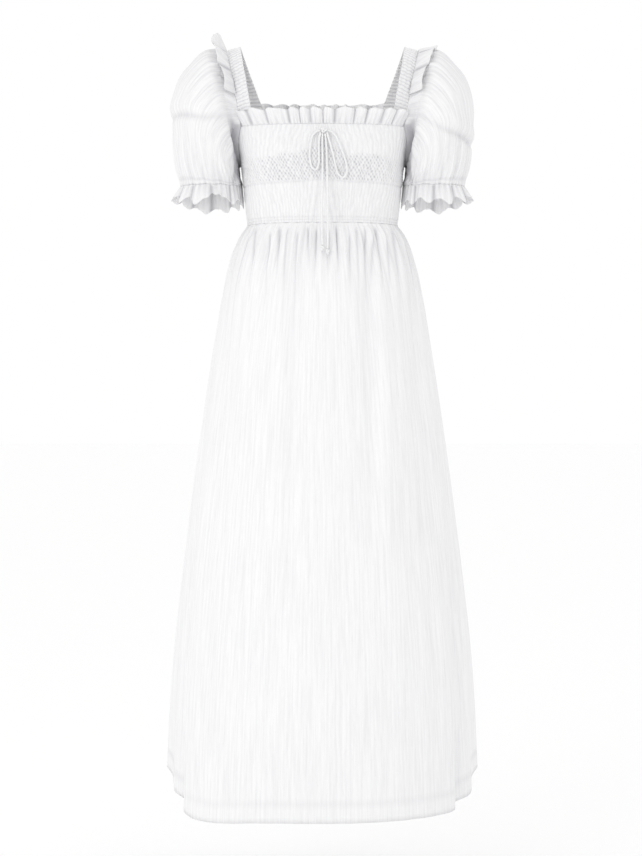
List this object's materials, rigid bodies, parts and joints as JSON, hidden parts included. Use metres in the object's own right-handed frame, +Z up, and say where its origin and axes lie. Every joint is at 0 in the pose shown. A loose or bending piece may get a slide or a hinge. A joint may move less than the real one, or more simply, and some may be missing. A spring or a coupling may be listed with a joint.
{
  "type": "peasant dress",
  "caption": "Long white crinkle-gauze dress with a smocked square-neck bodice, shirred straps, frills, puff sleeves, a gathered skirt and a rouleau tie.",
  "frame": {"origin": "midway between the tops of the two shoulder straps, where the wearer's shoulders hold the dress up", "axes": "+Z up along the wearer's body, +Y to the back of the dress, +X to the viewer's right as seen from the front"},
  "size_m": [0.5508, 0.4146, 1.3519],
  "materials": {
    "gauze": "matt crinkled cotton gauze",
    "rouleau": "matt cotton rouleau tie"
  },
  "bodies": {
    "root": {"bodice_front": "gauze", "bodice_back": "gauze", "neck_frill_front": "gauze", "neck_frill_back": "gauze", "strap_left": "gauze", "strap_right": "gauze", "shoulder_frill_left": "gauze", "shoulder_frill_right": "gauze", "sleeve_left": "gauze", "sleeve_right": "gauze", "cuff_frill_left": "gauze", "cuff_frill_right": "gauze", "skirt_front": "gauze", "skirt_back": "gauze", "tie_knot": "rouleau", "tie_loop_left": "rouleau", "tie_loop_right": "rouleau", "tie_tail_left": "rouleau", "tie_tail_right": "rouleau", "tie_end_left": "rouleau", "tie_end_right": "rouleau"}
  },
  "joints": []
}
